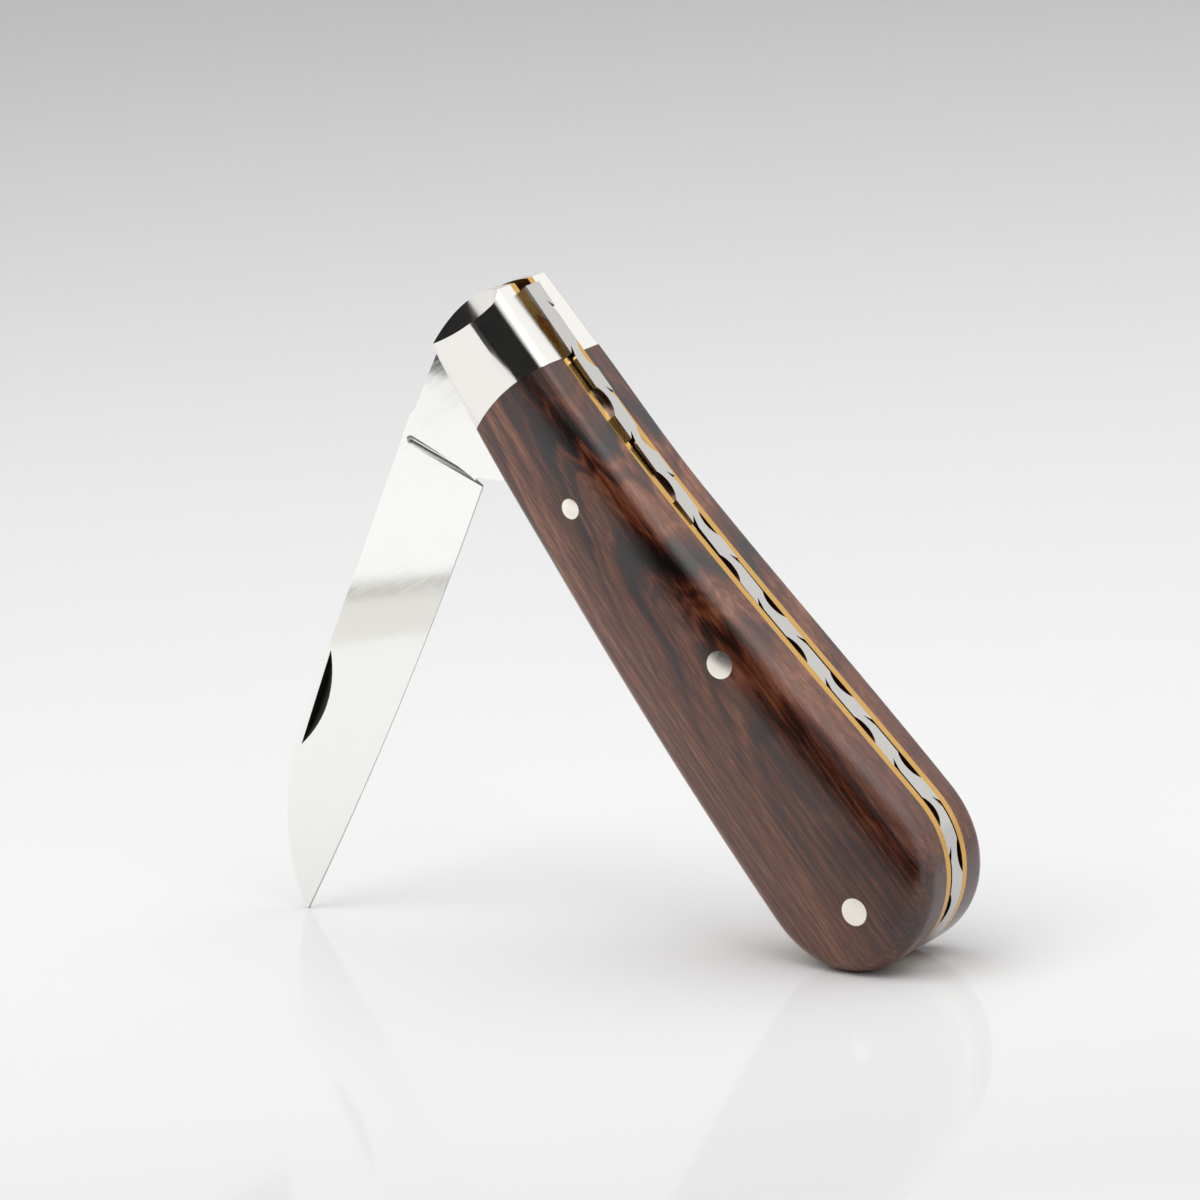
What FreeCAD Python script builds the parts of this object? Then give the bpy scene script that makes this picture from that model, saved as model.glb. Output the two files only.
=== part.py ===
import FreeCAD, Part
import math
import os

# A slip-joint pocket knife, millimetres. Each piece is first drawn on its own flat layout:
# the handle with u along it from the pivot to the butt and v towards its spine,
# the blade with s along it from the pivot to the tip and t towards its edge.
# Then both are set down half open, standing on the blade's tip and the handle's round butt.

# Handle outline
handle_length = 88.9
butt_radius = 11.7
end_reach = 6.6              # pivot to the bolsters' rounded end
bolster_rise = 7.25          # pivot up to the spine
bolster_drop = 5.1           # pivot down to the belly corner of the end
end_spine_setback = 1.7      # how far the end's corners lie behind its crest
end_belly_setback = 1.85
belly_radius = 550.0
spine_straight = 10.0        # pivot to the place where the spine starts to rise
spine_lead_angle = 5.1       # slope of the spine where it meets the butt

# Layers, from the middle outwards
spring_width = 2.8
liner_thickness = 1.0
end_cover_thickness = 3.65   # bolster or scale, on the crown's ridge
swell_cover_thickness = 5.57
crown_radius = 32.0
ridge_rise = 4.9             # the crown's ridge lies nearer the spine: pivot up to it
ridge_slant = 2.55           # degrees; the ridge nears the middle line towards the butt
shoulder_bevel = 1.3         # the covers' shoulders are rounded in two strips: one bevel,
shoulder_ease = 0.45         # then its edge with the crown eased
swell_share = 0.77           # pivot to the thickest place, of the handle's length
bolster_length = 11.28       # to the crest of the bowed joint with the scale
junction_bow_radius = 30.0
junction_bow_rise = 0.8      # the bow's crest, above the pivot
bevel_length = 2.7           # the sloping end of each bolster
bevel_angle = 45.0

# Pins and rivets
pivot_radius = 1.6
pivot_clearance = 0.03
pin_radius = 1.6
middle_pin_share = 0.498     # pivot to the middle pin, of the handle's length
middle_pin_depth = 5.1       # spine to the middle pin
butt_pin_inset = 7.0         # butt's tail to the butt pin
butt_pin_drop = 0.16         # below the line from the pivot to the butt's centre
scale_pin_radius = 1.19
scale_pin_share = 0.2227     # pivot to the scale pins, of the handle's length
scale_pin_drop = 0.68
rivet_radius = 0.8
rivet_u = 2.6
rivet_rise = 4.2
rivet_fall = 3.2
rivet_depth_share = 0.5      # how far a rivet reaches into its bolster

# Tang, the cam that the spring rides on
cam_flat = 4.5               # pivot to each resting flat
cam_corner_radius = 5.45     # pivot to the rounded corners between the flats
cam_clearance = 0.06
spring_nose_depth = 2.75
nose_reach = 3.8             # pivot to the spring's nose
nose_gap = 0.15              # nose to the tang's stop, blade fully open
closed_angle = 8.0           # blade to handle, with the kick on the spring
rest_angle = 65.1

# Blade
blade_side_clearance = 0.1
blade_reach = 75.85          # pivot to tip
tip_drop = 3.1               # pivot line to the tip, towards the edge
edge_drop = 4.2              # the edge at its fullest
edge_full_place = 45.0
heel_drop = 3.7              # the edge beside the choil
tang_step = 0.3              # the blade's back stands this much above the tang's
tang_step_place = 11.7
tang_step_run = 0.9
back_fall_place = 56.0       # where the back starts to drop to the tip
back_fall_height = 6.05
back_drop_run = 10.0         # pull of the back's curve, along the blade, at its start
back_drop_fall = 0.85
tip_pull_run = 2.85          # pull of the back's curve at the tip
tip_pull_fall = 3.7
kick_place = 13.4
choil_place = 15.2
choil_radius = 0.6
plunge_place = 15.5
plunge_radius = 0.7
plunge_depth = 0.3
plunge_end = 6.2             # pivot line to the plunge groove's rounded end
edge_thickness = 0.24
back_thickness = 2.4
nick_length = 12.9
nick_width = 1.6
nick_depth = 0.7
nick_place = 51.0
nick_height = 5.6
nick_angle = 3.8

# Back spring, inner side
nose_pad_length = 8.0        # pivot to the end of the pad over the tang
spring_waist_wall = 2.1      # steel left below the middle pin
spring_end_wall = 2.4        # steel left below the butt pin

# Vine filed along the spring's back
vine_repeats = 7
vine_start_share = 0.28      # nose to the rear side's first thorn, of the pitch
side_shift_share = 0.5       # the front side's vine lies this much of the pitch further on
vine_end_share = 0.41        # last repeat to the back's end, of the pitch
vine_depth = 1.1
thorn_width = 0.75
thorn_depth = 0.9
thorn_lean = 0.9
runner_share = 0.37          # of the pitch
runner_depth = 0.28
leaf_share = 0.353           # of the pitch
leaf_depth = 1.0

cut_overrun = 2.0
spine_pull_share = 1 / 3     # a cubic's inner poles lie a third of the way along
cubic_mid_share = 1 / 2
free_end_slope_share = 3 / 2  # an evenly bent arm's free end, against its mean slope

half_spring = spring_width / 2
core_half = half_spring + liner_thickness
junction_u = bolster_length - end_reach
tail_u = handle_length - end_reach
butt_u = tail_u - butt_radius
swell_u = handle_length * swell_share
middle_pin_u = handle_length * middle_pin_share
scale_pin_u = handle_length * scale_pin_share
butt_pin_u = tail_u - butt_pin_inset
full_half_width = butt_radius + cut_overrun


def at(u, v, y=0.0):
    return FreeCAD.Vector(u, y, v)


def line(a, b):
    return Part.makeLine(a, b)


def arc(a, b, c):
    return Part.Arc(a, b, c).toShape()


def bezier(poles, first=0.0, last=1.0):
    curve = Part.BezierCurve()
    curve.setPoles(poles)
    return curve.toShape(first, last)


def moved(edges, y):
    wire = Part.Wire(edges)
    wire.translate(FreeCAD.Vector(0, y, 0))
    return wire


def plate(edges, front, rear):
    return Part.Face(moved(edges, front)).extrude(FreeCAD.Vector(0, rear - front, 0))


def peg(u, v, radius, front, rear):
    return Part.makeCylinder(radius, rear - front, at(u, v, front), FreeCAD.Vector(0, 1, 0))


def mirrored(shape):
    return shape.mirror(FreeCAD.Vector(0, 0, 0), FreeCAD.Vector(0, 1, 0))


# Handle outline: rounded end, straight spine, rising spine, round butt, bowed belly
lead = math.radians(spine_lead_angle)
butt_centre = at(butt_u, 0)
belly_corner = at(end_belly_setback - end_reach, -bolster_drop)
spine_corner = at(end_spine_setback - end_reach, bolster_rise)
end_crest = at(-end_reach, (bolster_rise - bolster_drop) / 2)
rise_start = at(spine_straight, bolster_rise)
butt_join = at(butt_u - butt_radius * math.sin(lead), butt_radius * math.cos(lead))
rise_run = butt_join.x - spine_straight
pull = rise_run * spine_pull_share
rise_poles = [
    rise_start,
    rise_start + at(pull, 0),
    butt_join - at(pull, pull * math.tan(lead)),
    butt_join,
]


def spine_share(u):
    return (u - spine_straight) / rise_run


def cubic_point(poles, share):
    rest = 1 - share
    weights = (rest ** 3, 3 * rest ** 2 * share, 3 * rest * share ** 2, share ** 3)
    total = FreeCAD.Vector(0, 0, 0)
    for pole, weight in zip(poles, weights):
        total = total + pole * weight
    return total


def cubic_slope(poles, share):
    rest = 1 - share
    run = (poles[1] - poles[0]) * rest ** 2
    run = run + (poles[2] - poles[1]) * 2 * rest * share
    run = run + (poles[3] - poles[2]) * share ** 2
    return run.z / run.x


middle_share = spine_share(middle_pin_u)
spring_middle = cubic_point(rise_poles, middle_share)
middle_pin_v = spring_middle.z - middle_pin_depth
butt_pin_v = -butt_pin_drop
scale_pin_v = -scale_pin_drop


# The belly's arc touches the butt's circle from inside and ends at the belly corner
def belly_centre():
    reach = butt_centre - belly_corner
    span = reach.Length
    along = (belly_radius ** 2 + span ** 2 - (belly_radius - butt_radius) ** 2) / (2 * span)
    across = math.sqrt(belly_radius ** 2 - along ** 2)
    ahead = reach.normalize()
    aside = FreeCAD.Vector(-ahead.z, 0, ahead.x)
    return belly_corner + ahead * along + aside * across


belly_middle = belly_centre()
belly_join = butt_centre + (butt_centre - belly_middle).normalize() * butt_radius
belly_crest = belly_middle + ((belly_corner + belly_join) / 2 - belly_middle).normalize() * belly_radius
butt_tail = at(tail_u, 0)

outline = [
    arc(belly_corner, end_crest, spine_corner),
    line(spine_corner, rise_start),
    bezier(rise_poles),
    arc(butt_join, butt_tail, belly_join),
    arc(belly_join, belly_crest, belly_corner),
]


# One side's cover, crowned across about a slanting ridge and swelling along,
# before it is parted into bolster and scale
def crown_body():
    swell = swell_cover_thickness - end_cover_thickness
    reach = swell_u + end_reach
    swell_radius = (reach ** 2 + swell ** 2) / (2 * swell)
    half_width = full_half_width + ridge_rise
    edge_fall = crown_radius - math.sqrt(crown_radius ** 2 - half_width ** 2)
    outer = -core_half - swell_cover_thickness
    low = at(swell_u, -half_width, 0)
    high = at(swell_u, half_width, 0)
    low_shoulder = at(swell_u, -half_width, outer + edge_fall)
    high_shoulder = at(swell_u, half_width, outer + edge_fall)
    section = Part.Face(Part.Wire([
        line(low, high),
        line(high, high_shoulder),
        arc(high_shoulder, at(swell_u, 0, outer), low_shoulder),
        line(low_shoulder, low),
    ]))
    hub = at(swell_u, 0, outer + swell_radius)
    swing = math.degrees(handle_length / swell_radius)
    section.rotate(hub, at(0, 1), -swing)
    crown = section.revolve(hub, at(0, 1), 2 * swing)
    crown.translate(at(0, ridge_rise))
    crown.rotate(at(0, ridge_rise), FreeCAD.Vector(0, 1, 0), ridge_slant)
    return crown


def end_bevel():
    slope = math.radians(bevel_angle)
    crest = at(bevel_length - end_reach, -full_half_width, -core_half - end_cover_thickness)
    run = bevel_length + cut_overrun
    foot = crest + at(-run, 0, run * math.tan(slope))
    above = crest + at(0, 0, -swell_cover_thickness)
    side = Part.makePolygon([crest, foot, foot + at(0, 0, above.y - foot.y), above, crest])
    return Part.Face(side).extrude(at(0, 2 * full_half_width))


# The long edges round the crown; the bolster's end keeps its edge
def crown_edges(solid):
    crown = max(solid.Faces, key=lambda face: face.Area if face.CenterOfMass.y < -core_half else 0)
    return [edge for edge in crown.OuterWire.Edges if edge.CenterOfMass.x > belly_corner.x]


def front_cover():
    crown = crown_body()
    outermost = -core_half - swell_cover_thickness - cut_overrun
    cover = plate(outline, outermost, -core_half).common(crown).Solids[0]
    cover = cover.makeChamfer(shoulder_bevel, crown_edges(cover))
    cover = cover.makeChamfer(shoulder_ease, crown_edges(cover))
    return cover.cut(end_bevel())


def side_box(first_u, last_u):
    deep = core_half + swell_cover_thickness + cut_overrun
    corner = at(first_u, -full_half_width, -deep)
    return Part.makeBox(last_u - first_u, 2 * deep, 2 * full_half_width, corner)


# Everything behind the bowed joint, where the scales lie
def behind_joint():
    deep = core_half + swell_cover_thickness + cut_overrun
    middle_u = junction_u + junction_bow_radius
    bow = peg(middle_u, junction_bow_rise, junction_bow_radius, -deep, deep)
    return bow.fuse(side_box(middle_u, handle_length + cut_overrun))


cover = front_cover()
stack_half = core_half + swell_cover_thickness + cut_overrun
core = plate(outline, -core_half, core_half)
envelope = core.fuse([cover, mirrored(cover)])
scale_space = behind_joint()


def pin(u, v, radius, front, rear):
    return peg(u, v, radius, front, rear).common(envelope)


pivot_pin = pin(0, 0, pivot_radius, -stack_half, stack_half)
middle_pin = pin(middle_pin_u, middle_pin_v, pin_radius, -stack_half, stack_half)
butt_pin = pin(butt_pin_u, butt_pin_v, pin_radius, -stack_half, stack_half)
front_scale_pin = pin(scale_pin_u, scale_pin_v, scale_pin_radius, -stack_half, -half_spring)
rivet_end = -core_half - end_cover_thickness * rivet_depth_share
front_bolster_rivets = Part.makeCompound([
    peg(rivet_u, height, rivet_radius, rivet_end, -half_spring)
    for height in (rivet_rise, -rivet_fall)
])
front_fasteners = [pivot_pin, middle_pin, butt_pin, front_scale_pin] + front_bolster_rivets.Solids

front_bolster = cover.cut([scale_space] + front_fasteners)
front_scale = cover.common(scale_space).cut(front_fasteners)
front_liner = plate(outline, -core_half, -half_spring).cut(front_fasteners)


# Back spring, bent up by the tang: nose, back, butt, end, belly, waist, pad
nose_low = cam_corner_radius + cam_clearance
nose_tip = at(-nose_reach, nose_low + spring_nose_depth)
nose_lift = nose_tip.z - bolster_rise
arm = spring_middle.x - nose_tip.x
arm_pull = arm * spine_pull_share
nose_slope = -free_end_slope_share * nose_lift / arm
middle_slope = cubic_slope(rise_poles, middle_share)
arm_poles = [
    nose_tip,
    nose_tip + at(arm_pull, arm_pull * nose_slope),
    spring_middle - at(arm_pull, arm_pull * middle_slope),
    spring_middle,
]
end_low = butt_pin_v - pin_radius - spring_end_wall
end_corner = at(butt_u + math.sqrt(butt_radius ** 2 - end_low ** 2), end_low)
waist = at(middle_pin_u, middle_pin_v - pin_radius - spring_waist_wall)
end_start = at(butt_pin_u, end_low)
pad_end = at(nose_pad_length, nose_low)
nose_foot = at(-nose_reach, nose_low)


def level_curve(a, b):
    reach = at((b.x - a.x) * cubic_mid_share, 0)
    return bezier([a, a + reach, b - reach, b])


spring_back = [
    bezier(arm_poles),
    bezier(rise_poles, middle_share, 1.0),
    arc(butt_join, butt_tail, end_corner),
]
spring_outline = spring_back + [
    line(end_corner, end_start),
    level_curve(end_start, waist),
    level_curve(waist, pad_end),
    line(pad_end, nose_foot),
    line(nose_foot, nose_tip),
]


back_length = sum(edge.Length for edge in spring_back)
vine_pitch = back_length / (vine_start_share + vine_repeats + side_shift_share + vine_end_share)
vine_start = vine_pitch * vine_start_share
runner_length = vine_pitch * runner_share
leaf_length = vine_pitch * leaf_share


# A place on the spring's back: the point, and the frame with x along it and z outwards
def back_frame(distance):
    for edge in spring_back:
        if distance <= edge.Length or edge is spring_back[-1]:
            break
        distance = distance - edge.Length
    place = edge.getParameterByLength(distance)
    ahead = edge.tangentAt(place)
    turn = FreeCAD.Rotation(FreeCAD.Vector(0, 1, 0), -math.degrees(math.atan2(ahead.z, ahead.x)))
    return FreeCAD.Placement(edge.valueAt(place), turn)


def set_on_back(cut, distance):
    cut.translate(FreeCAD.Vector(0, 0, -vine_depth))
    cut.Placement = back_frame(distance).multiply(cut.Placement)
    return cut


# Filed from one side, which is -1 at the front and 1 at the rear: a thorn that leans back
# with a shallow runner leading from it, and a leaf as deep as a round file sinks
def thorn_and_runner(distance, side):
    edge_y = side * half_spring
    outer_y = side * (half_spring + cut_overrun)
    inner_y = side * (half_spring - runner_depth)
    runner_end = runner_length + leaf_length / 2
    corners = [
        FreeCAD.Vector(0, outer_y, 0),
        FreeCAD.Vector(0, edge_y, 0),
        FreeCAD.Vector(-thorn_lean, edge_y - side * thorn_depth, 0),
        FreeCAD.Vector(thorn_width, inner_y, 0),
        FreeCAD.Vector(runner_end, inner_y, 0),
        FreeCAD.Vector(runner_end, outer_y, 0),
        FreeCAD.Vector(0, outer_y, 0),
    ]
    cut = Part.Face(Part.makePolygon(corners)).extrude(FreeCAD.Vector(0, 0, vine_depth + cut_overrun))
    return set_on_back(cut, distance)


def leaf(distance, side):
    file_radius = (leaf_length ** 2 / 4 + leaf_depth ** 2) / (2 * leaf_depth)
    centre = FreeCAD.Vector(0, side * (half_spring - leaf_depth + file_radius), 0)
    cut = Part.makeCylinder(file_radius, vine_depth + cut_overrun, centre)
    return set_on_back(cut, distance)


def vine():
    cuts = []
    for side, start in ((-1, vine_start + vine_pitch * side_shift_share), (1, vine_start)):
        for repeat in range(vine_repeats):
            distance = start + repeat * vine_pitch
            cuts.append(thorn_and_runner(distance, side))
            cuts.append(leaf(distance + runner_length + leaf_length / 2, side))
    return cuts


back_spring = plate(spring_outline, -half_spring, half_spring).cut([middle_pin, butt_pin]).cut(vine())


# Blade outline, from the stop shoulder along the back to the tip,
# then the edge, the choil, the kick and the cam
tang_back = bolster_rise
shoulder_s = nose_reach + nose_gap
tip = at(blade_reach, tip_drop)
step_top = at(tang_step_place + tang_step_run, -tang_back - tang_step)
fall_start = at(back_fall_place, -back_fall_height)
closed = math.radians(closed_angle)
flat_half = math.sqrt(cam_corner_radius ** 2 - cam_flat ** 2)


# A point on the flat that lies along the spring when the knife is shut
def shut_flat(s):
    return at(s, cam_flat / math.cos(closed) + s * math.tan(closed))


def cam_arc(start, stop):
    return arc(start, (start + stop).normalize() * cam_corner_radius, stop)


shut_end = at(
    -cam_flat * math.sin(closed) - flat_half * math.cos(closed),
    cam_flat * math.cos(closed) - flat_half * math.sin(closed),
)
choil_foot = at(choil_place - choil_radius, heel_drop)
heel = at(choil_place + choil_radius, heel_drop)
blade_outline = [
    line(at(shoulder_s, -cam_flat), at(shoulder_s, -tang_back)),
    line(at(shoulder_s, -tang_back), at(tang_step_place, -tang_back)),
    line(at(tang_step_place, -tang_back), step_top),
    line(step_top, fall_start),
    bezier([
        fall_start,
        fall_start + at(back_drop_run, back_drop_fall),
        tip - at(tip_pull_run, tip_pull_fall),
        tip,
    ]),
    arc(tip, at(edge_full_place, edge_drop), heel),
    arc(heel, at(choil_place, heel_drop - choil_radius), choil_foot),
    line(choil_foot, shut_flat(kick_place)),
    line(shut_flat(kick_place), shut_end),
    cam_arc(shut_end, at(-cam_flat, flat_half)),
    line(at(-cam_flat, flat_half), at(-cam_flat, -flat_half)),
    cam_arc(at(-cam_flat, -flat_half), at(-flat_half, -cam_flat)),
    line(at(-flat_half, -cam_flat), at(shoulder_s, -cam_flat)),
]
tang_half = half_spring - blade_side_clearance


def ground_half(t):
    share = (t + tang_back + tang_step) / (edge_drop + tang_back + tang_step)
    return (back_thickness + (edge_thickness - back_thickness) * share) / 2


# Flat grind on the front face: all that stands outside a plane that leans in to the edge
def front_grind():
    high = -tang_back - tang_step - cut_overrun
    low = edge_drop + cut_overrun
    outside = -tang_half - cut_overrun
    face = Part.Face(Part.makePolygon([
        at(plunge_place, high, -ground_half(high)),
        at(plunge_place, low, -ground_half(low)),
        at(plunge_place, low, outside),
        at(plunge_place, high, outside),
        at(plunge_place, high, -ground_half(high)),
    ]))
    return face.extrude(at(blade_reach, 0))


def front_plunge():
    lift = plunge_radius - plunge_depth
    start = at(plunge_place, -plunge_end, -ground_half(-plunge_end) - lift)
    low = edge_drop + cut_overrun
    stop = at(plunge_place, low, -ground_half(low) - lift)
    groove = Part.makeCylinder(plunge_radius, (stop - start).Length, start, stop - start)
    return groove.fuse(Part.makeSphere(plunge_radius, start))


# The nail nick is one dip of a round cutter, leaning so that its floor runs out towards the edge
def nail_nick():
    slope = math.atan2(nick_depth, nick_width)
    dip = nick_depth / math.cos(slope)
    cutter = (nick_length ** 2 / 4 + dip ** 2) / (2 * dip)
    face_y = -ground_half(-nick_height)
    axis = FreeCAD.Vector(0, -math.sin(slope), math.cos(slope))
    lift = FreeCAD.Vector(0, -math.cos(slope), -math.sin(slope)) * (cutter - dip)
    disc = Part.makeCylinder(cutter, nick_width + cut_overrun, at(0, 0, 0) + lift, axis)
    disc.rotate(FreeCAD.Vector(0, 0, 0), FreeCAD.Vector(0, 1, 0), -nick_angle)
    disc.translate(at(nick_place, -nick_height, face_y))
    return disc


blade = plate(blade_outline, -tang_half, tang_half)
blade = blade.cut([front_grind(), mirrored(front_grind()), front_plunge(), mirrored(front_plunge())])
blade = blade.cut(nail_nick())
blade = blade.cut(peg(0, 0, pivot_radius + pivot_clearance, -tang_half, tang_half))

# Setting the knife down: the blade is turned to its half-open angle, then the whole leans
# until the tip and the butt's circle stand on one level
opening = math.radians(rest_angle)
tip_u = blade_reach * math.cos(opening) + tip_drop * math.sin(opening)
tip_v = tip_drop * math.cos(opening) - blade_reach * math.sin(opening)
span_u = butt_u - tip_u
span_v = -tip_v
span = math.hypot(span_u, span_v)
up = math.atan2(span_v, span_u) + math.acos(butt_radius / span)
lean = math.degrees(up) - 90

y_axis = FreeCAD.Vector(0, 1, 0)
no_shift = FreeCAD.Vector(0, 0, 0)
blade.rotate(no_shift, y_axis, rest_angle)

pieces = {
    "blade": blade,
    "back_spring": back_spring,
    "front_liner": front_liner,
    "rear_liner": mirrored(front_liner),
    "front_bolster": front_bolster,
    "rear_bolster": mirrored(front_bolster),
    "front_scale": front_scale,
    "rear_scale": mirrored(front_scale),
    "pivot_pin": pivot_pin,
    "middle_pin": middle_pin,
    "butt_pin": butt_pin,
    "front_scale_pin": front_scale_pin,
    "rear_scale_pin": mirrored(front_scale_pin),
    "front_bolster_rivets": front_bolster_rivets,
    "rear_bolster_rivets": mirrored(front_bolster_rivets),
}
for shape in pieces.values():
    shape.rotate(no_shift, y_axis, lean)
whole = Part.makeCompound(list(pieces.values())).optimalBoundingBox(False, False)
stand = FreeCAD.Vector(-whole.Center.x, 0, -whole.ZMin)

os.makedirs("parts", exist_ok=True)
for name, shape in pieces.items():
    shape.translate(stand)
    shape.exportStep(f"parts/{name}.step")
    print(name, len(shape.Solids), shape.isValid(), round(shape.Volume, 2))
print("lean", round(lean, 3), "pivot", stand)
print("box", whole.XLength, whole.YLength, whole.ZLength)
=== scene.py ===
import math

import bmesh
import bpy
import numpy as np
from mathutils import Matrix, Vector


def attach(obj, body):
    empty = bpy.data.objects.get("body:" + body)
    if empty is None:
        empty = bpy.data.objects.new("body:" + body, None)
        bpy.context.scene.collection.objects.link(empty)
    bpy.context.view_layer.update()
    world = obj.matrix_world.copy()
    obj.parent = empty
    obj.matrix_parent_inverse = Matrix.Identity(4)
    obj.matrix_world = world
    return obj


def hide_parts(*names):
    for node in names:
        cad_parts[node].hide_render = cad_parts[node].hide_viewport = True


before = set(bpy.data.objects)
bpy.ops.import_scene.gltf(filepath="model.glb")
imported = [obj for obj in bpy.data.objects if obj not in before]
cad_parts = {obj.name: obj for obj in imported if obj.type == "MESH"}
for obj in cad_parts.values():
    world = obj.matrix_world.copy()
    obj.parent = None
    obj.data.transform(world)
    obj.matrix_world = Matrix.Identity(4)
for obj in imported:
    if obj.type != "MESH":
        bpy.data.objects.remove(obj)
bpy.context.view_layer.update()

# Handle layout in mm: u runs from the pivot to the butt, v towards the spine, y through the knife.
# Blade layout in mm: s runs from the pivot to the tip, t towards the edge.
knife = {
    "pivot": (-9.59272, 68.24409),      # x and z of the pivot pin
    "handleTurn": 36.783,               # degrees, handle against the upright
    "bladeTurn": 118.317,
    "springHalf": 1.4, "linerThick": 1.0,
    "endReach": 6.6, "spineRise": 7.25, "bellyCorner": (-4.75, -5.1), "spineCorner": (-4.9, 7.25),
    "spineStraight": 10.0, "spineLead": 5.1, "bellyRadius": 550.0,
    "buttCentre": 70.6, "buttRadius": 11.7,
    "junction": 4.68, "bowRadius": 30.0, "bowRise": 0.8,  # the bowed joint of bolster and scale
}
coreHalf = knife["springHalf"] + knife["linerThick"]


def handleWorld(u, v, y):
    turn = math.radians(knife["handleTurn"])
    x = knife["pivot"][0] + u * math.sin(turn) + v * math.cos(turn)
    z = knife["pivot"][1] - u * math.cos(turn) + v * math.sin(turn)
    return np.stack(np.broadcast_arrays(x, y, z), axis=-1) * 0.001


# spine height over u: level, then a cubic rise, then the butt's circle
def spineLine(u):
    lead = math.radians(knife["spineLead"])
    joinU = knife["buttCentre"] - knife["buttRadius"] * math.sin(lead)
    joinV = knife["buttRadius"] * math.cos(lead)
    start, run = knife["spineStraight"], joinU - knife["spineStraight"]
    f = np.clip((u - start) / run, 0.0, 1.0)
    low, high = knife["spineRise"], joinV - run / 3 * math.tan(lead)
    cubic = low * ((1 - f) ** 3 + 3 * f * (1 - f) ** 2) + 3 * high * f ** 2 * (1 - f) + joinV * f ** 3
    circle = np.sqrt(np.maximum(knife["buttRadius"] ** 2 - (u - knife["buttCentre"]) ** 2, 0.0))
    return np.where(u > joinU, circle, cubic)


# the belly's big circle touches the butt's circle from inside and passes the belly corner
def bellyCircle():
    corner = np.array(knife["bellyCorner"])
    reach = np.array([knife["buttCentre"], 0.0]) - corner
    span = np.linalg.norm(reach)
    big, small = knife["bellyRadius"], knife["buttRadius"]
    along = (big ** 2 + span ** 2 - (big - small) ** 2) / (2 * span)
    across = math.sqrt(big ** 2 - along ** 2)
    ahead = reach / span
    return corner + ahead * along + np.array([-ahead[1], ahead[0]]) * across


bellyHub = bellyCircle()


def bellyLine(u):
    big = bellyHub[1] - np.sqrt(knife["bellyRadius"] ** 2 - (u - bellyHub[0]) ** 2)
    circle = -np.sqrt(np.maximum(knife["buttRadius"] ** 2 - (u - knife["buttCentre"]) ** 2, 0.0))
    toButt = np.array([knife["buttCentre"], 0.0]) - bellyHub
    joinU = knife["buttCentre"] + toButt[0] / np.linalg.norm(toButt) * knife["buttRadius"]
    return np.where(u > joinU, circle, big)


# Covers: the crown is a piece of a ring, round across the handle and barely round along it;
# its ridge lies near the spine at the bolster and slants to the middle at the butt
cover = {
    "endThick": 3.65, "swellThick": 5.57, "swellAt": 68.453, "crownRadius": 32.0,
    "ridgeRise": 4.9, "ridgeSlant": 2.55,
    # radius of the rounded shoulders on the scale and on the bolster, and where along u it grows
    "shoulder": 2.4, "boltShoulder": 1.3, "shoulderGrow": (6.0, 26.0),
    "arcSteps": 12, "wallSteps": 2, "crownSteps": 22, "jointSteps": 12,
    "probe": 0.05,                      # mm to each side for measuring a slope
}
mergeSteps = 2e6                        # to the metre: points within half a micrometre are one


def crown(u, v):
    swell = cover["swellThick"] - cover["endThick"]
    reach = cover["swellAt"] + knife["endReach"]
    ring = (reach ** 2 + swell ** 2) / (2 * swell)
    slant = math.radians(cover["ridgeSlant"])
    ahead = u * math.cos(slant) - (v - cover["ridgeRise"]) * math.sin(slant)
    aside = u * math.sin(slant) + (v - cover["ridgeRise"]) * math.cos(slant)
    across = ring - cover["crownRadius"] + np.sqrt(cover["crownRadius"] ** 2 - aside ** 2)
    return cover["swellThick"] - ring + np.sqrt(across ** 2 - (ahead - cover["swellAt"]) ** 2)


# the joint's arc: u over v
def jointLine(v):
    bow = knife["bowRadius"]
    return knife["junction"] + bow - np.sqrt(bow ** 2 - (v - knife["bowRise"]) ** 2)


# the shoulders are tight on the bolster and ease out along the scale:
# a half cosine leads from one radius to the other
def shoulderRadius(u):
    start, stop = cover["shoulderGrow"]
    f = np.clip((u - start) / (stop - start), 0.0, 1.0)
    growth = cover["shoulder"] - cover["boltShoulder"]
    return cover["boltShoulder"] + growth * (1 - np.cos(math.pi * f)) / 2


# half a cross section from a wall inwards: foot, wall, a ball's arc that touches the wall and the crown.
# column counts up the wall and round the arc; returns distance in from the wall and height off the liner
def shoulderArc(u, edge, inward, column):
    r = shoulderRadius(u)
    top = crown(u, edge + inward * r)
    probe = cover["probe"]
    inner, outer = crown(u, edge + inward * (r + probe)), crown(u, edge + inward * (r - probe))
    slope = (inner - outer) / (2 * probe)
    hub = top - r * np.sqrt(1 + slope ** 2)
    wall = np.clip(column / cover["wallSteps"], 0.0, 1.0)
    sweep = np.clip((column - cover["wallSteps"]) / cover["arcSteps"], 0.0, 1.0)
    angle = math.pi - sweep * (math.pi / 2 - np.arctan(slope))
    inDistance = r + r * np.cos(angle)
    height = np.where(column < cover["wallSteps"], hub * wall, hub + r * np.sin(angle))
    return inDistance, height


halfColumns = cover["wallSteps"] + cover["arcSteps"] + cover["crownSteps"] // 2
allColumns = 2 * halfColumns + 1


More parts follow.
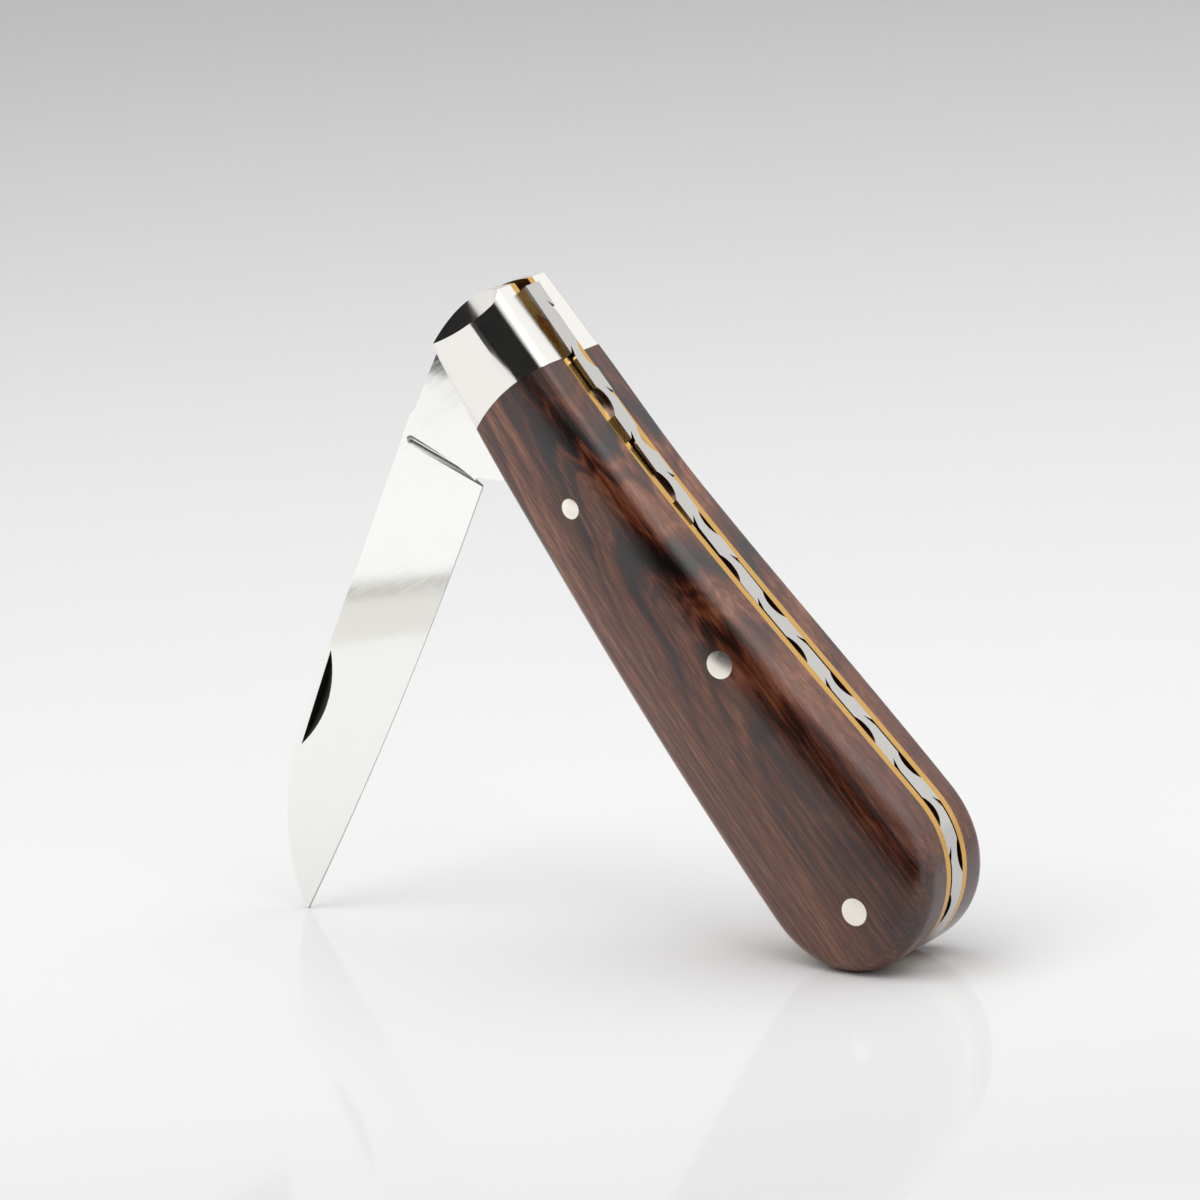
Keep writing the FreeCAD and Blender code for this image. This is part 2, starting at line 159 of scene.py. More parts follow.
# whole cross section in the plane of one u: columns run from the belly's foot to the spine's foot
def coverSection(u, column):
    spine, belly = spineLine(u), bellyLine(u)
    mirrored = 2 * halfColumns - column
    lowIn, lowHeight = shoulderArc(u, belly, 1.0, column)
    highIn, highHeight = shoulderArc(u, spine, -1.0, mirrored)
    shoulderColumns = cover["wallSteps"] + cover["arcSteps"]
    low, high = belly + lowIn, spine - highIn
    lastLow = belly + shoulderArc(u, belly, 1.0, np.full_like(column, shoulderColumns))[0]
    lastHigh = spine - shoulderArc(u, spine, -1.0, np.full_like(column, shoulderColumns))[0]
    f = np.clip((column - shoulderColumns) / (2.0 * (halfColumns - shoulderColumns)), 0.0, 1.0)
    middle = lastLow + (lastHigh - lastLow) * f
    onLow, onHigh = column <= shoulderColumns, mirrored <= shoulderColumns
    v = np.where(onLow, low, np.where(onHigh, high, middle))
    height = np.where(onLow, lowHeight, np.where(onHigh, highHeight, crown(u, v)))
    return v, height


# each column's place on the joint
def jointColumns(column):
    u = np.full_like(column, knife["junction"])
    for step in range(cover["jointSteps"]):
        u = jointLine(coverSection(u, column)[0])
    return u


def gridFaces(rows, columns, start, flip):
    index = start + np.arange(rows * columns).reshape(rows, columns)
    corners = [index[:-1, :-1], index[1:, :-1], index[1:, 1:], index[:-1, 1:]]
    quad = np.stack(corners, axis=-1).reshape(-1, 4)
    return quad[:, ::-1] if flip else quad


# joins grids of points into one mesh; equal points merge, and edges past the crease angle stay crisp
def surfacePiece(name, grids, material, body, node, crease=30.0):
    points, faces, start = [], [], 0
    for grid, flip in grids:
        points.append(grid.reshape(-1, 3))
        faces.append(gridFaces(grid.shape[0], grid.shape[1], start, flip))
        start += grid.shape[0] * grid.shape[1]
    points, faces = np.concatenate(points), np.concatenate(faces)
    key = np.round(points * mergeSteps).astype(np.int64)
    first, back = np.unique(key, axis=0, return_index=True, return_inverse=True)[1:]
    points, faces = points[first], back.reshape(-1)[faces]
    a, b, c, d = faces.T
    keepAb, keepBc, keepCd, keepDa = a != b, b != c, c != d, d != a
    whole = keepAb & keepBc & keepCd & keepDa & (a != c) & (b != d)
    triBc = ~whole & ~keepAb & keepBc & keepCd & keepDa    # one side has shrunk to a point
    triCd = ~whole & keepAb & ~keepBc & keepCd & keepDa
    triDa = ~whole & keepAb & keepBc & ~keepCd & keepDa
    triAb = ~whole & keepAb & keepBc & keepCd & ~keepDa
    tris = np.concatenate([faces[triBc][:, [0, 2, 3]], faces[triCd][:, [0, 1, 3]],
                           faces[triDa][:, [0, 1, 2]], faces[triAb][:, [0, 1, 2]]])
    quads = faces[whole]
    mesh = bpy.data.meshes.new(name)
    mesh.from_pydata(points.tolist(), [], quads.tolist() + tris.tolist())
    mesh.validate()
    mesh.polygons.foreach_set("use_smooth", np.ones(len(mesh.polygons), dtype=bool))
    mesh.set_sharp_from_angle(angle=math.radians(crease))
    mesh.update()
    piece = bpy.data.objects.new(name, mesh)
    bpy.context.scene.collection.objects.link(piece)
    piece.data.materials.append(material)
    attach(piece, body)
    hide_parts(node)


# the same grids on the far side of the knife
def farSide(grids):
    turned = np.array([1.0, -1.0, 1.0])
    return [(grid * turned, not flip) for grid, flip in grids]


# Materials


def linearColour(hexText):
    value = np.array([int(hexText[i:i + 2], 16) for i in (1, 3, 5)]) / 255
    linear = np.where(value <= 0.04045, value / 12.92, ((value + 0.055) / 1.055) ** 2.4)
    return (*linear.tolist(), 1.0)


# adds a node, sets what is named, and links by socket order or by name; a number sets its socket
def addNode(tree, kind, settings=None, *inOrder, **links):
    node = tree.nodes.new(kind)
    for key, value in (settings or {}).items():
        if key in node.inputs:
            node.inputs[key].default_value = value
        else:
            setattr(node, key, value)
    named = [(node.inputs[key.replace("_", " ")], source) for key, source in links.items()]
    for socket, source in list(zip(node.inputs, inOrder)) + named:
        if isinstance(source, (int, float)):
            socket.default_value = source
        else:
            tree.links.new(source.outputs[0] if isinstance(source, bpy.types.Node) else source, socket)
    return node


def newMaterial(name):
    material = bpy.data.materials.new(name)
    material.use_nodes = True
    tree = material.node_tree
    tree.nodes.clear()
    output = tree.nodes.new("ShaderNodeOutputMaterial")
    shader = tree.nodes.new("ShaderNodeBsdfPrincipled")
    tree.links.new(shader.outputs["BSDF"], output.inputs["Surface"])
    return material, tree, shader


def colourStops(ramp, stops):
    ramp.color_ramp.elements[0].position = stops[0][0]
    ramp.color_ramp.elements[0].color = stops[0][1]
    ramp.color_ramp.elements[1].position = stops[-1][0]
    ramp.color_ramp.elements[1].color = stops[-1][1]
    for place, colour in stops[1:-1]:
        ramp.color_ramp.elements.new(place).color = colour


# object coordinates turned into the handle's own mm: x along it, y through it, z towards the spine
def handleCoordinates(tree):
    turn = math.radians(knife["handleTurn"])
    px, pz = knife["pivot"]
    along = px * math.sin(turn) - pz * math.cos(turn)
    across = px * math.cos(turn) + pz * math.sin(turn)
    source = addNode(tree, "ShaderNodeTexCoord")
    return addNode(tree, "ShaderNodeMapping", {
        "Scale": (1000.0, 1000.0, 1000.0), "Rotation": (0.0, turn - math.pi / 2, 0.0),
        "Location": (-along, 0.0, -across)}, Vector=source.outputs["Object"]).outputs["Vector"]


# the blade's own mm: x along it, z towards the edge
def bladeCoordinates(tree):
    turn = math.radians(knife["bladeTurn"])
    source = addNode(tree, "ShaderNodeTexCoord")
    return addNode(tree, "ShaderNodeMapping", {
        "Scale": (1000.0, 1000.0, 1000.0), "Rotation": (0.0, turn, 0.0)},
        Vector=source.outputs["Object"]).outputs["Vector"]


# Polished metal: an even mirror, with buffing lines a fraction of a millimetre apart that soften it here and
# there. The lines are drawn about 0.25 mm wide, coarser than real ones, so that they show
buffing = {
    "detail": 3.0, "harshness": 0.6, "cloudSize": 4.0, "cloudDetail": 2.0,
    "range": (0.1, 0.4), "depth": 0.00001,
}


def polishedMetal(name, colour, smooth, rough, lines, lineDepth, coordinates, rub=None):
    material, tree, shader = newMaterial(name)
    shader.inputs["Base Color"].default_value = linearColour(colour)
    shader.inputs["Metallic"].default_value = 1.0
    place = coordinates(tree)
    stretch = addNode(tree, "ShaderNodeMapping", {"Scale": lines}, place)
    marks = addNode(tree, "ShaderNodeTexNoise", {
        "Scale": 1.0, "Detail": buffing["detail"], "Roughness": buffing["harshness"]}, Vector=stretch)
    cloud = addNode(tree, "ShaderNodeTexNoise", {
        "Scale": 1 / buffing["cloudSize"], "Detail": buffing["cloudDetail"]}, Vector=place)
    mixed = addNode(tree, "ShaderNodeMath", {"operation": "MULTIPLY"}, marks, cloud)
    spread = addNode(tree, "ShaderNodeMapRange", {
        "From Min": buffing["range"][0], "From Max": buffing["range"][1],
        "To Min": smooth, "To Max": rough}, Value=mixed)
    if rub:                             # duller from one height to another, in mm, by so much
        height = addNode(tree, "ShaderNodeSeparateXYZ", None, place).outputs["Z"]
        dull = addNode(tree, "ShaderNodeMapRange", {
            "From Min": rub[0], "From Max": rub[1], "To Min": 0.0, "To Max": rub[2]}, Value=height)
        spread = addNode(tree, "ShaderNodeMath", {"operation": "ADD"}, spread, dull)
    tree.links.new(spread.outputs[0], shader.inputs["Roughness"])
    bump = addNode(tree, "ShaderNodeBump", {"Strength": lineDepth, "Distance": buffing["depth"]},
                   Height=marks.outputs["Fac"])
    tree.links.new(bump.outputs["Normal"], shader.inputs["Normal"])
    return material


# steel off the polishing wheel is a near white mirror; the ground spine, edge and grooves are rougher, and
# their grey is painted dark reflection; the nail nick and the filed vine are painted shade, and so are the
# brass flat sides in tan brown, while brass edges shine yellow; nickel silver is a shade warmer than steel
bladeSteel = polishedMetal("mirror polished carbon steel", "#F8F8F5", smooth=0.03, rough=0.09,
                           lines=(4.0, 4.0, 0.15), lineDepth=0.02, coordinates=bladeCoordinates)
# painted dark reflection: grey colour on the rougher ground spine, edge and grooves
groundSteelPaintedDark = polishedMetal("ground carbon steel, painted dark reflection", "#B0AFAB", smooth=0.22, rough=0.36,
                            lines=(0.4, 4.0, 4.0), lineDepth=0.10, coordinates=bladeCoordinates)
# painted shade: the milled nail nick is coloured near black
nickSteelPaintedShade = polishedMetal("milled carbon steel, painted shade", "#3A3B37", smooth=0.25, rough=0.40,
                          lines=(0.3, 4.0, 4.0), lineDepth=0.15, coordinates=bladeCoordinates)
springSteel = polishedMetal("polished spring steel", "#C4C3C0", smooth=0.12, rough=0.24,
                            lines=(0.3, 4.0, 4.0), lineDepth=0.05, coordinates=handleCoordinates)
# painted shade: the filed vine's walls and floors are coloured dark brown
filedSteelPaintedShade = polishedMetal("filed spring steel, painted shade", "#8C7464", smooth=0.20, rough=0.34,
                           lines=(2.0, 4.0, 4.0), lineDepth=0.10, coordinates=handleCoordinates)
nickelSilver = polishedMetal("buffed nickel silver", "#F0EDE8", smooth=0.02, rough=0.07,
                             lines=(0.2, 4.0, 4.0), lineDepth=0.05, coordinates=handleCoordinates,
                             rub=(6.0, 7.2, 0.16))
pinNickel = polishedMetal("ground nickel silver pin", "#FAF4EA", smooth=0.18, rough=0.28,
                          lines=(3.0, 3.0, 3.0), lineDepth=0.05, coordinates=handleCoordinates)
linerBrass = polishedMetal("polished brass", "#CFA35A", smooth=0.16, rough=0.28,
                           lines=(0.3, 3.0, 3.0), lineDepth=0.05, coordinates=handleCoordinates)
# painted shade: the liners' flat sides, seen through the filed notches, are coloured dark tan brown
linerSidePaintedShade = polishedMetal("sheet brass side, painted shade", "#6A4823", smooth=0.25, rough=0.40,
                          lines=(0.3, 3.0, 3.0), lineDepth=0.05, coordinates=handleCoordinates)

# Dark ironwood, oiled and buffed: near black growth rings in red brown, cut to arches where the crown runs
# through them and to straight streaks beside the belly, fine fibres along the handle, short dark pores, and a
# low clear gloss, worn dull along the spine's shoulder; the colour is paler towards the belly and on the
# spine's shoulder as painted sheen
rangeKeys = ("From Min", "From Max", "To Min", "To Max")
wood = {
    "tones": ((0.24, "#110807"), (0.39, "#2c1109"), (0.52, "#512413"), (0.64, "#693a23"), (0.84, "#935f45")),
    "ringSpacing": 8.6, "ringShift": 0.4,   # mm along the handle from arch to arch; in rings
    "ringDetail": 2.4, "ringHarshness": 0.5,
    "archAxis": 5.4, "archBow": 0.24,       # mm off the middle line; mm along for each square mm across
    # cloud noise, stretched along the grain: mm long, mm wide, detail
    "drift": (24.0, 5.0, 2.0), "waver": (9.0, 1.3, 2.0), "streak": (40.0, 0.42, 2.0),
    "fibre": (3.2, 0.12, 4.0), "pore": (1.8, 0.11, 1.0), "harshness": 0.6,
    "driftBy": 13.0, "waverBy": 1.2,        # mm to each side
    "streakShare": 0.52, "fibreShare": 0.60,
    "archAlong": dict(zip(rangeKeys, (28.0, 56.0, 1.9, 0.45))),     # over mm along the handle
    "archAcross": dict(zip(rangeKeys, (12.0, 70.0, 1.0, 0.45))),    # over square mm off the arches' axis
    # painted sheen: the base colour grows paler towards the belly
    "bellyPaintedSheen": dict(zip(rangeKeys, (3.5, -5.0, -0.06, 0.13))),    # over mm towards the spine
    # painted sheen: the base colour grows paler on the spine's shoulder
    "spinePaintedSheen": dict(zip(rangeKeys, (4.8, 6.2, 0.0, 0.10))),
    "worn": dict(zip(rangeKeys, (4.5, 5.6, 0.0, 0.30))),
    "poreDark": dict(zip(rangeKeys, (0.60, 0.68, 1.0, 0.5))),       # over a noise's value
    "gloss": dict(zip(rangeKeys, (0.35, 0.7, 0.12, 0.20))),
    "spineSlope": 0.06,                     # mm that the spine rises for each mm along
    "refraction": 1.5, "shine": 0.75, "fibreRelief": 0.12, "fibreDepth": 0.00003,
}


def ironwood():
    material, tree, shader = newMaterial("oiled dark ironwood")
    place = handleCoordinates(tree)
    split = addNode(tree, "ShaderNodeSeparateXYZ", Vector=place)
    along, height = split.outputs["X"], split.outputs["Z"]
    maths, ranges = "ShaderNodeMath", "ShaderNodeMapRange"
    add, subtract, multiply, multiplyAdd = (
        {"operation": name} for name in ("ADD", "SUBTRACT", "MULTIPLY", "MULTIPLY_ADD"))
    noises = {}
    for name in ("drift", "waver", "streak", "fibre", "pore"):
        length, width, detail = wood[name]
        grain = addNode(tree, "ShaderNodeMapping", {"Scale": (1 / length, 0.5 / width, 1 / width)}, place)
        noises[name] = addNode(tree, "ShaderNodeTexNoise", {
            "Scale": 1.0, "Detail": detail, "Roughness": wood["harshness"]}, Vector=grain)
    # ring number = (u - bow * side^2 + drift + waver) / spacing + shift
    side = addNode(tree, maths, subtract, height, wood["archAxis"])
    square = addNode(tree, maths, multiply, side, side)
    ring = addNode(tree, maths, multiplyAdd, square, -wood["archBow"], along)
    for name in ("drift", "waver"):
        ring = addNode(tree, maths, multiplyAdd, noises[name], wood[name + "By"] * 2, ring)
    count = addNode(tree, maths, multiplyAdd, ring, 1 / wood["ringSpacing"], wood["ringShift"])
    rings = addNode(tree, "ShaderNodeTexNoise", {
        "noise_dimensions": "1D", "Scale": 1.0, "Detail": wood["ringDetail"],
        "Roughness": wood["ringHarshness"]}, W=count)
    # the arches are boldest near the bolster and on their axis, and fade to plain streaks elsewhere
    alongFade = addNode(tree, ranges, wood["archAlong"], Value=along)
    acrossFade = addNode(tree, ranges, wood["archAcross"], Value=square)
    bold = addNode(tree, maths, multiply, alongFade, acrossFade)
    tone = addNode(tree, maths, multiplyAdd, addNode(tree, maths, subtract, rings, 0.5), bold, 0.5)
    for name in ("streak", "fibre"):
        centred = addNode(tree, maths, subtract, noises[name], 0.5)
        tone = addNode(tree, maths, multiplyAdd, centred, wood[name + "Share"], tone)
    # height towards the spine, less the spine's own rise
    level = addNode(tree, maths, multiplyAdd, along, -wood["spineSlope"], height)
    # painted sheen: paler base colour towards the belly and on the spine's shoulder
    for name, over in (("bellyPaintedSheen", height), ("spinePaintedSheen", level)):
        tone = addNode(tree, maths, add, tone, addNode(tree, ranges, wood[name], Value=over))
    ramp = addNode(tree, "ShaderNodeValToRGB", None, tone)
    colourStops(ramp, [(at, linearColour(colour)) for at, colour in wood["tones"]])
    pores = addNode(tree, ranges, wood["poreDark"], Value=noises["pore"])
    dark = addNode(tree, "ShaderNodeVectorMath", {"operation": "SCALE"}, ramp, Scale=pores)
    tree.links.new(dark.outputs["Vector"], shader.inputs["Base Color"])
    gloss = addNode(tree, ranges, wood["gloss"], Value=noises["fibre"])
    gloss = addNode(tree, maths, add, gloss, addNode(tree, ranges, wood["worn"], Value=level))
    tree.links.new(gloss.outputs["Value"], shader.inputs["Roughness"])
    shader.inputs["IOR"].default_value = wood["refraction"]
    shader.inputs["Specular IOR Level"].default_value = wood["shine"]
    bump = addNode(tree, "ShaderNodeBump", {"Strength": wood["fibreRelief"], "Distance": wood["fibreDepth"]},
                   Height=noises["fibre"])
    tree.links.new(bump.outputs["Normal"], shader.inputs["Normal"])
    return material


scaleWood = ironwood()

# Scales: ribs across the handle from the bolster to the butt's centre, then a fan round the butt
scale = {"ribs": 150, "fan": 72}


def scaleGrids():
    column = np.arange(allColumns, dtype=float)[None, :]
    joint = jointColumns(column)
    u = joint + (knife["buttCentre"] - joint) * np.linspace(0.0, 1.0, scale["ribs"])[:, None]
    column = np.broadcast_to(column, u.shape)
    v, height = coverSection(u, column)
    ribs = handleWorld(u, v, -coreHalf - height)
    under = handleWorld(u, v, np.full_like(height, -coreHalf))
    angle = np.linspace(math.pi / 2, -math.pi / 2, scale["fan"])[:, None]
    fanColumn = np.arange(halfColumns + 1, dtype=float)[None, :]
    angle, fanColumn = np.broadcast_arrays(angle, fanColumn)
    away = fanProfile(angle, fanColumn)
    fan = handleWorld(away[0], away[1], -coreHalf - away[2])
    fanUnder = handleWorld(away[0], away[1], np.full_like(away[2], -coreHalf))
    cap = np.stack([ribs[0], under[0]])
    return [(ribs, False), (under, True), (fan, True), (fanUnder, False), (cap, True)]


# the half section turned about the butt's centre: same wall, arc and crown, measured along the radius
def fanProfile(angle, column):
    radius, r = knife["buttRadius"], cover["shoulder"]

    def crownAt(out):
        return crown(knife["buttCentre"] + out * np.cos(angle), out * np.sin(angle))

    top = crownAt(radius - r)
    probe = cover["probe"]
    slope = (crownAt(radius - r - probe) - crownAt(radius - r + probe)) / (2 * probe)
    hub = top - r * np.sqrt(1 + slope ** 2)
    wall = np.clip(column / cover["wallSteps"], 0.0, 1.0)
    sweep = np.clip((column - cover["wallSteps"]) / cover["arcSteps"], 0.0, 1.0)
    turn = math.pi - sweep * (math.pi / 2 - np.arctan(slope))
    out = radius - r - r * np.cos(turn)
    shoulderColumns = cover["wallSteps"] + cover["arcSteps"]
    f = np.clip((column - shoulderColumns) / (halfColumns - shoulderColumns), 0.0, 1.0)
    out = out * (1 - f)
    arcHeight = np.where(column < cover["wallSteps"], hub * wall, hub + r * np.sin(turn))
    height = np.where(column <= shoulderColumns, arcHeight, crownAt(out))
    return knife["buttCentre"] + out * np.cos(angle), out * np.sin(angle), height


grids = scaleGrids()
surfacePiece("frontScale", grids, scaleWood, "handle", "front_scale")
surfacePiece("rearScale", farSide(grids), scaleWood, "handle", "rear_scale")
print("scales made")

# Bolsters: the same section, cut by a bevel that slopes to the rounded end
bolster = {
    "bevelLength": 2.7, "bevelSlope": 1.0, "rows": 48, "bevelRows": 10, "endRows": 4,
    "startGuess": -4.5, "startSteps": 40, "edge": 1e-6, "crease": 20.0,
}


def endArc(v):
    a, b = np.array(knife["bellyCorner"]), np.array(knife["spineCorner"])
    c = np.array([-knife["endReach"], (a[1] + b[1]) / 2])
    system = np.array([2 * (b - a), 2 * (c - a)])
    hub = np.linalg.solve(system, np.array([b @ b - a @ a, c @ c - a @ a]))
    radius = np.linalg.norm(a - hub)
    return hub[0] - np.sqrt(np.maximum(radius ** 2 - (v - hub[1]) ** 2, 0.0))


def bevelHeight(u):
    crest = bolster["bevelLength"] - knife["endReach"]
    return cover["endThick"] - (crest - u) * bolster["bevelSlope"]


def bolsterGrids():
    column = np.arange(allColumns, dtype=float)
    crest = bolster["bevelLength"] - knife["endReach"]
    start = np.full(allColumns, bolster["startGuess"])
    for step in range(bolster["startSteps"]):               # each column's start on the bevel or the end
        v, height = coverSection(start, column)
        onBevel = crest - (cover["endThick"] - height) / bolster["bevelSlope"]
        start = 0.5 * start + 0.5 * np.maximum(onBevel, endArc(v))
    v, height = coverSection(start, column)
    endU = np.minimum(endArc(v), start)
    share = np.linspace(0.0, 1.0, bolster["rows"])[:, None]
    u = start + (jointColumns(column) - start) * share
    vAll, heightAll = coverSection(u, np.broadcast_to(column, u.shape))
    body = handleWorld(u, vAll, -coreHalf - heightAll)
    under = handleWorld(u, vAll, np.full_like(heightAll, -coreHalf))
    share = np.linspace(0.0, 1.0, bolster["bevelRows"])[:, None]
    slopeU = endU + (start - endU) * share
    slopeHeight = np.where(start - endU > bolster["edge"], bevelHeight(slopeU), height)
    slopeV = np.broadcast_to(v, slopeU.shape)
    slope = handleWorld(slopeU, slopeV, -coreHalf - slopeHeight)
    slopeUnder = handleWorld(slopeU, slopeV, np.full_like(slopeHeight, -coreHalf))
    share = np.linspace(0.0, 1.0, bolster["endRows"])[:, None]
    end = handleWorld(endU, v, -coreHalf - slopeHeight[0] * share)
    cap = np.stack([body[-1], under[-1]])
    return [(body, False), (under, True), (slope, False), (slopeUnder, True), (end, False), (cap, False)]


grids = bolsterGrids()
surfacePiece("frontBolster", grids, nickelSilver, "handle", "front_bolster",
             bolster["crease"])
surfacePiece("rearBolster", farSide(grids), nickelSilver, "handle", "rear_bolster",
             bolster["crease"])
print("bolsters made")

# Pins, ground flush with the covers and a hair proud
pins = {
    "middle": {"at": (44.272, 4.1), "radius": 1.6, "rise": 0.03, "dome": 0.06},
    "butt": {"at": (75.3, -0.16), "radius": 1.6, "rise": 0.03, "dome": 0.06},
    "scale": {"at": (19.798, -0.68), "radius": 1.19, "rise": 0.03, "dome": 0.05},
    "pivot": {"at": (0.0, 0.0), "radius": 1.6, "rise": -0.08, "dome": 0.0},
    "around": 64, "rings": 8, "crease": 40.0,
}


def pinGrids(pin, inner):
    angle = np.linspace(0, 2 * math.pi, pins["around"] + 1)[:, None]
    out = np.linspace(0.0, 1.0, pins["rings"] + 1)[None, :]
    u = pin["at"][0] + pin["radius"] * out * np.cos(angle)
    v = pin["at"][1] + pin["radius"] * out * np.sin(angle)
    head = -coreHalf - crown(u, v) - pin["rise"] - pin["dome"] * (1 - out ** 2)
    face = handleWorld(u, v, head)
    foot = handleWorld(u, v, np.full_like(head, inner))
    shank = np.stack([face[:, -1], foot[:, -1]], axis=1)
    return [(face, False), (shank, False), (foot, True)]


for which, nodeName in (("middle", "middle_pin"), ("butt", "butt_pin"), ("pivot", "pivot_pin")):
    half = pinGrids(pins[which], 0.0)[:2]
    surfacePiece(which + "Pin", half + farSide(half), pinNickel, "handle", nodeName,
                 pins["crease"])
grids = pinGrids(pins["scale"], -knife["springHalf"])
surfacePiece("frontScalePin", grids, pinNickel, "handle", "front_scale_pin", pins["crease"])
surfacePiece("rearScalePin", farSide(grids), pinNickel, "handle", "rear_scale_pin",
             pins["crease"])
print("pins made")

# Blade, spring and liners: merged copies of the CAD nodes, shaded smooth, with a finish for each kind of
# face;
# painted dark reflection on the blade's ground faces and painted shade in the nick, the filed vine and the
# liner sides
finish = {
    "flat": 0.985,                      # a face this square to the side is polished blade or liner side
    "nickFrom": (43.5, -8.5), "nickTo": (58.5, -2.5),   # mm on the blade
    "nickTilt": -0.2,                   # a face this much towards the front
    "filedDepth": 1.3, "backSkin": 0.12,    # mm below the spring's back
    "weld": 1e-6, "crease": 14.0,
}


# centres in mm and normals of a mesh's faces, as arrays
def faceArrays(mesh):
    centre, normal = np.empty(len(mesh.polygons) * 3), np.empty(len(mesh.polygons) * 3)
    mesh.polygons.foreach_get("center", centre)
    mesh.polygons.foreach_get("normal", normal)
    return centre.reshape(-1, 3) * 1000, normal.reshape(-1, 3)


def smoothCopy(name, nodeName, body, materials, choose):
    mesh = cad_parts[nodeName].data.copy()
    mesh.name = name
    if "custom_normal" in mesh.attributes:
        mesh.attributes.remove(mesh.attributes["custom_normal"])
    work = bmesh.new()
    work.from_mesh(mesh)
    bmesh.ops.remove_doubles(work, verts=work.verts, dist=finish["weld"])
    work.to_mesh(mesh)
    work.free()
    mesh.materials.clear()
    for material in materials:
        mesh.materials.append(material)
    centre, normal = faceArrays(mesh)
    mesh.polygons.foreach_set("material_index", choose(centre, normal).astype(np.int32))
    mesh.polygons.foreach_set("use_smooth", np.abs(normal[:, 1]) < finish["flat"])
    mesh.set_sharp_from_angle(angle=math.radians(finish["crease"]))
    mesh.update()
    piece = bpy.data.objects.new(name, mesh)
    bpy.context.scene.collection.objects.link(piece)
    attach(piece, body)
    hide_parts(nodeName)


# 0 on the polished flats, 2 in the nail nick with its painted shade, 1 on the spine, edge and grooves with
# their painted dark reflection
def bladeFinish(centre, normal):
    turn = math.radians(knife["bladeTurn"])
    x, z = centre[:, 0] - knife["pivot"][0], centre[:, 2] - knife["pivot"][1]
    s, t = x * math.cos(turn) - z * math.sin(turn), x * math.sin(turn) + z * math.cos(turn)
    (s0, t0), (s1, t1) = finish["nickFrom"], finish["nickTo"]
    inNick = (s > s0) & (s < s1) & (t > t0) & (t < t1) & (normal[:, 1] < finish["nickTilt"])
    return np.where(np.abs(normal[:, 1]) > finish["flat"], 0, np.where(inNick, 2, 1))


# 1 on the walls and floors of the filed vine, which take the painted shade, 0 on the back and all below
def springFinish(centre, normal):
    turn = math.radians(knife["handleTurn"])
    x, z = centre[:, 0] - knife["pivot"][0], centre[:, 2] - knife["pivot"][1]
    u, v = x * math.sin(turn) - z * math.cos(turn), x * math.cos(turn) + z * math.sin(turn)
    underButt = knife["buttRadius"] - np.hypot(u - knife["buttCentre"], v)
    depth = np.where(u > knife["buttCentre"], underButt, spineLine(u) - v)
    return ((depth > finish["backSkin"]) & (depth < finish["filedDepth"])).astype(int)


# 1 on the liners' flat sides, which take the painted shade, 0 on their edges
def linerFinish(centre, normal):
    return (np.abs(normal[:, 1]) > finish["flat"]).astype(int)


smoothCopy("bladeBody", "blade", "blade", [bladeSteel, groundSteelPaintedDark, nickSteelPaintedShade], bladeFinish)
smoothCopy("backSpring", "back_spring", "handle", [springSteel, filedSteelPaintedShade], springFinish)
for side in ("front", "rear"):
    smoothCopy(side + "Liner", side + "_liner", "handle", [linerBrass, linerSidePaintedShade], linerFinish)
    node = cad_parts[side + "_bolster_rivets"]
    node.data.materials.clear()
    node.data.materials.append(nickelSilver)
print("blade, spring and liners finished")

# Floor, light and camera
def flatCard(name, corners, material):
    mesh = bpy.data.meshes.new(name)
    mesh.from_pydata(corners, [], [tuple(range(len(corners)))])
    card = bpy.data.objects.new(name, mesh)
    bpy.context.scene.collection.objects.link(card)
    mesh.materials.append(material)
    return card


# white acrylic, a smooth sheet with a faint mirror; its colour along the view, in metres, holds painted
# shade:
# a soft grey band in front of the knife and a dimming towards the back
floor = {
    "half": 1.6, "roughness": 0.06, "shine": 0.03,
    "turn": -31.5, "reach": {"From Min": -0.3, "From Max": 0.75},
    # painted shade: the grey dip at 0.19 and the darker tones towards the back
    "tones": ((0.0, "#F6F6F6"), (0.10, "#F2F2F2"), (0.19, "#DFDFDF"),
              (0.305, "#EEEEEE"), (0.514, "#EAEAEA"), (1.0, "#D8D8D8")),
}
floorMaterial, tree, shader = newMaterial("white acrylic sheet")
shader.inputs["Roughness"].default_value = floor["roughness"]
shader.inputs["Specular IOR Level"].default_value = floor["shine"]
place = addNode(tree, "ShaderNodeTexCoord")
turned = addNode(tree, "ShaderNodeMapping", {"Rotation": (0.0, 0.0, math.radians(floor["turn"]))},
                 Vector=place.outputs["Object"])
away = addNode(tree, "ShaderNodeSeparateXYZ", Vector=turned)
fade = addNode(tree, "ShaderNodeMapRange", floor["reach"], Value=away.outputs["Y"])
ramp = addNode(tree, "ShaderNodeValToRGB", Fac=fade.outputs["Result"])
colourStops(ramp, [(at, linearColour(colour)) for at, colour in floor["tones"]])
tree.links.new(ramp.outputs["Color"], shader.inputs["Base Color"])
half = floor["half"]
flatCard("floor", [(-half, -half, 0), (half, -half, 0), (half, half, 0), (-half, half, 0)], floorMaterial)

